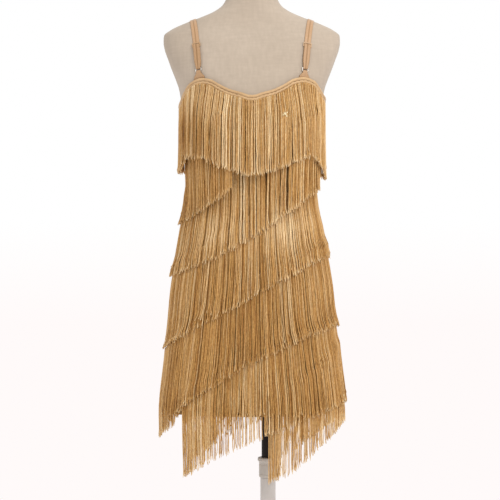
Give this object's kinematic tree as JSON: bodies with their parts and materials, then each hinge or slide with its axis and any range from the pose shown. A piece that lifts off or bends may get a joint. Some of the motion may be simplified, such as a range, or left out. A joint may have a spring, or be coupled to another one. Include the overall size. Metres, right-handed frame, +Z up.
{
  "type": "fringed flapper dress on a dress form",
  "caption": "Strappy gold flapper dress covered in slanted rows of long fringe, worn by a limbless dress form on a telescoping pole stand",
  "frame": {"origin": "centre of the base plate's underside, on the axis of the pole; the torso's middle plane lies 35.5 mm to its -X side", "axes": "+Z up along the pole, -Y out of the front of the dress, +X to the right seen from the front"},
  "size_m": [0.4085, 0.3098, 1.5043],
  "materials": {
    "fringe": "soft sheen, twisted rayon strands",
    "knit": "knit with scattered small sequins",
    "elastic": "satin",
    "linen": "matt plain weave",
    "cap_paint": "satin",
    "stand_paint": "satin",
    "rod_paint": "gloss",
    "fitting_metal": "polished"
  },
  "bodies": {
    "stand": {"base_plate": "stand_paint", "stand_tube": "stand_paint", "height_collar": "stand_paint"},
    "rod": {"rod": "rod_paint"},
    "form": {"form_torso": "linen", "neck_cap": "cap_paint", "front_panel": "knit", "back_panel": "knit", "front_binding": "elastic", "back_binding": "elastic", "strap_left": "elastic", "strap_right": "elastic", "tab_left": "elastic", "tab_right": "elastic", "slider_left": "fitting_metal", "slider_right": "fitting_metal", "ring_left": "fitting_metal", "ring_right": "fitting_metal", "fringe_0": "fringe", "fringe_1": "fringe", "fringe_2": "fringe", "fringe_3": "fringe", "fringe_4": "fringe", "fringe_5": "fringe", "fringe_6": "fringe"}
  },
  "joints": [
    {"name": "height", "type": "slide", "parent": "stand", "child": "rod", "axis": [0, 0, 1], "range_m": [-0.14, 0.1]},
    {"name": "turn", "type": "hinge", "parent": "rod", "child": "form", "pos_m": [0, 0, 0.712], "axis": [0, 0, 1], "continuous": true}
  ]
}
